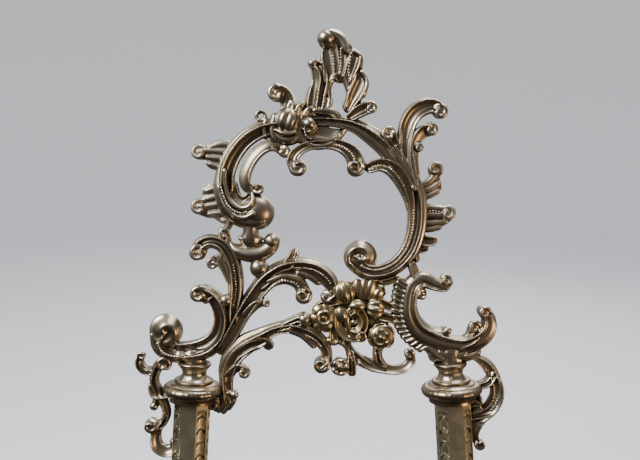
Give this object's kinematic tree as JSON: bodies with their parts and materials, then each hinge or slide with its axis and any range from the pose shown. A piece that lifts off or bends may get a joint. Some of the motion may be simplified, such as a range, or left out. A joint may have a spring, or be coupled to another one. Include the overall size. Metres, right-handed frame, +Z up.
{
  "type": "photo album stand",
  "caption": "Table stand for a photo album: pierced scrolling brass crest on two splayed posts, folding rear leg and two folding album rests.",
  "frame": {"origin": "on the surface the stand rests on, in the middle of the whole stand's box in X and Y", "axes": "+Z up, +X to the right seen from the front, -Y towards the viewer; the frame leans back towards +Y"},
  "size_m": [0.2436, 0.1553, 0.4627],
  "materials": {
    "cast_brass": "aged sand-cast brass, rubbed bright on the ridges, brown in the hollows",
    "gilt_brass": "cast brass with worn gilding",
    "dull_brass": "cast brass, less rubbed and greyer",
    "post_brass": "drawn and chased brass, smooth front face and stippled panels",
    "steel": "plain turned steel, dulled"
  },
  "bodies": {
    "stand": {"knot": "cast_brass", "plume": "cast_brass", "ring_left": "cast_brass", "ring_left_inner": "cast_brass", "ring_right": "cast_brass", "ring_right_inner": "cast_brass", "horn": "cast_brass", "leaves_left": "dull_brass", "leaves_right": "dull_brass", "cup": "cast_brass", "stem_left": "cast_brass", "acanthus_arm": "cast_brass", "base_scroll_left": "cast_brass", "arch_left": "cast_brass", "base_scroll_right": "cast_brass", "loop_right": "cast_brass", "bouquet_leaves": "gilt_brass", "rose_left": "gilt_brass", "rose_right": "gilt_brass", "blossom": "gilt_brass", "buds": "gilt_brass", "collar_left": "cast_brass", "collar_right": "cast_brass", "post_left": "post_brass", "post_right": "post_brass", "bracket_left": "cast_brass", "bracket_right": "cast_brass", "base_collar_left": "cast_brass", "base_collar_right": "cast_brass", "foot_left": "cast_brass", "foot_right": "cast_brass", "tie_rod_left": "steel", "tie_rod_right": "steel", "foot_nuts": "steel", "leg_rail": "cast_brass", "apron": "cast_brass", "apron_shell": "cast_brass", "lock_pins": "steel", "rest_lug_left": "cast_brass", "rest_lug_right": "cast_brass", "hinge_bracket": "cast_brass", "bracket_screws": "steel", "hinge_pin": "steel", "rest_pin_left": "steel", "rest_pin_right": "steel"},
    "leg": {"leg": "cast_brass", "leg_foot": "cast_brass"},
    "rest_left": {"rest_left": "cast_brass"},
    "rest_right": {"rest_right": "cast_brass"}
  },
  "joints": [
    {"name": "leg_fold", "type": "hinge", "parent": "stand", "child": "leg", "pos_m": [0, 0.01115, 0.20745], "axis": [1, 0, 0], "range_deg": [-28, 0]},
    {"name": "rest_left_swing", "type": "hinge", "parent": "stand", "child": "rest_left", "pos_m": [-0.048, -0.03678, 0.10416], "axis": [0, 0.2079, 0.9781], "range_deg": [0, 90]},
    {"name": "rest_right_swing", "type": "hinge", "parent": "stand", "child": "rest_right", "pos_m": [0.048, -0.03678, 0.10416], "axis": [0, 0.2079, 0.9781], "range_deg": [-90, 0]}
  ]
}
